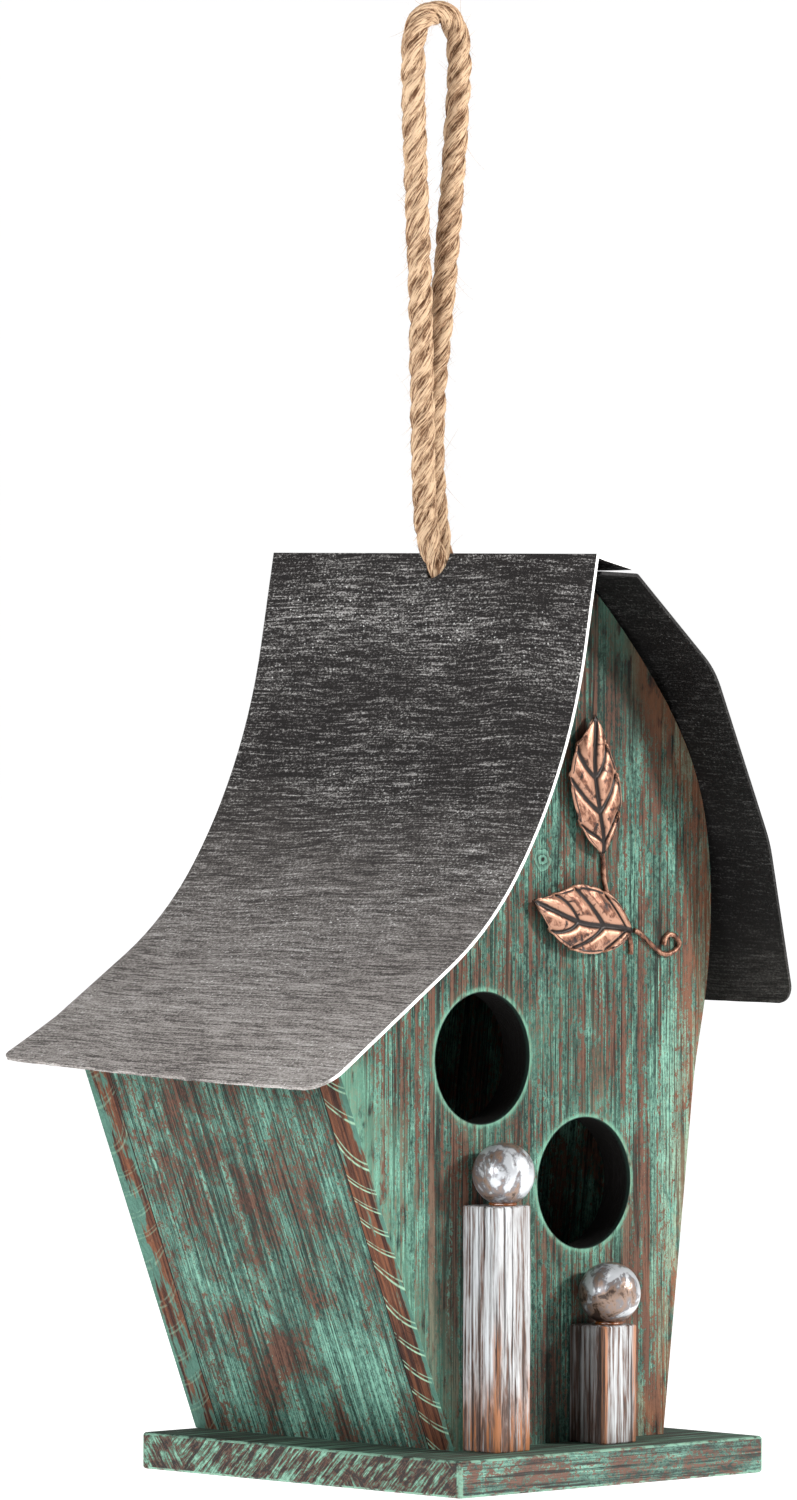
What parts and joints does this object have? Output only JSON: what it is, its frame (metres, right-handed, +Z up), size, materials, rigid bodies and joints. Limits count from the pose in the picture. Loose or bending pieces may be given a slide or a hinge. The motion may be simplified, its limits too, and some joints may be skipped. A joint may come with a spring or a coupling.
{
  "type": "hanging birdhouse",
  "caption": "Hanging wooden birdhouse with a swept tin roof, round entry holes, ball-topped posts, a copper leaf sprig, a rope loop and a swinging clean-out door.",
  "frame": {"origin": "the hang point, at the inside of the rope loop's top, over the middle of the roof ridge", "axes": "+Z up; the front with the entry holes looks along -Y; +X is to the right seen from the front"},
  "size_m": [0.1913, 0.1418, 0.4295],
  "materials": {
    "painted_wood": "distressed paint",
    "whitewashed_wood": "whitewashed",
    "roof_tin": "dark, dry-brushed",
    "copper": "antique copper",
    "ball_paint": "pearl over tan",
    "fastener_steel": "zinc plated",
    "jute": "natural"
  },
  "bodies": {
    "house": {"base_board": "painted_wood", "front_panel": "painted_wood", "back_panel": "painted_wood", "left_wall": "painted_wood", "right_wall": "painted_wood", "tall_post": "whitewashed_wood", "short_post": "whitewashed_wood", "tall_post_ball": "ball_paint", "short_post_ball": "ball_paint", "roof_left_sheet": "roof_tin", "roof_right_sheet": "roof_tin", "roof_nails": "fastener_steel", "front_panel_brads": "fastener_steel", "back_panel_brads": "fastener_steel", "base_screws": "fastener_steel", "door_pivot_screw": "fastener_steel", "upper_leaf": "copper", "lower_leaf": "copper", "leaf_stem": "copper", "leaf_tendril": "copper", "leaf_pins": "copper", "hanging_rope": "jute", "rope_knot": "jute"},
    "door": {"clean_out_door": "painted_wood"}
  },
  "joints": [
    {"name": "clean_out_door_swing", "type": "hinge", "parent": "house", "child": "door", "pos_m": [0.005, 0.0641, -0.329], "axis": [0, 1, 0], "continuous": true}
  ]
}
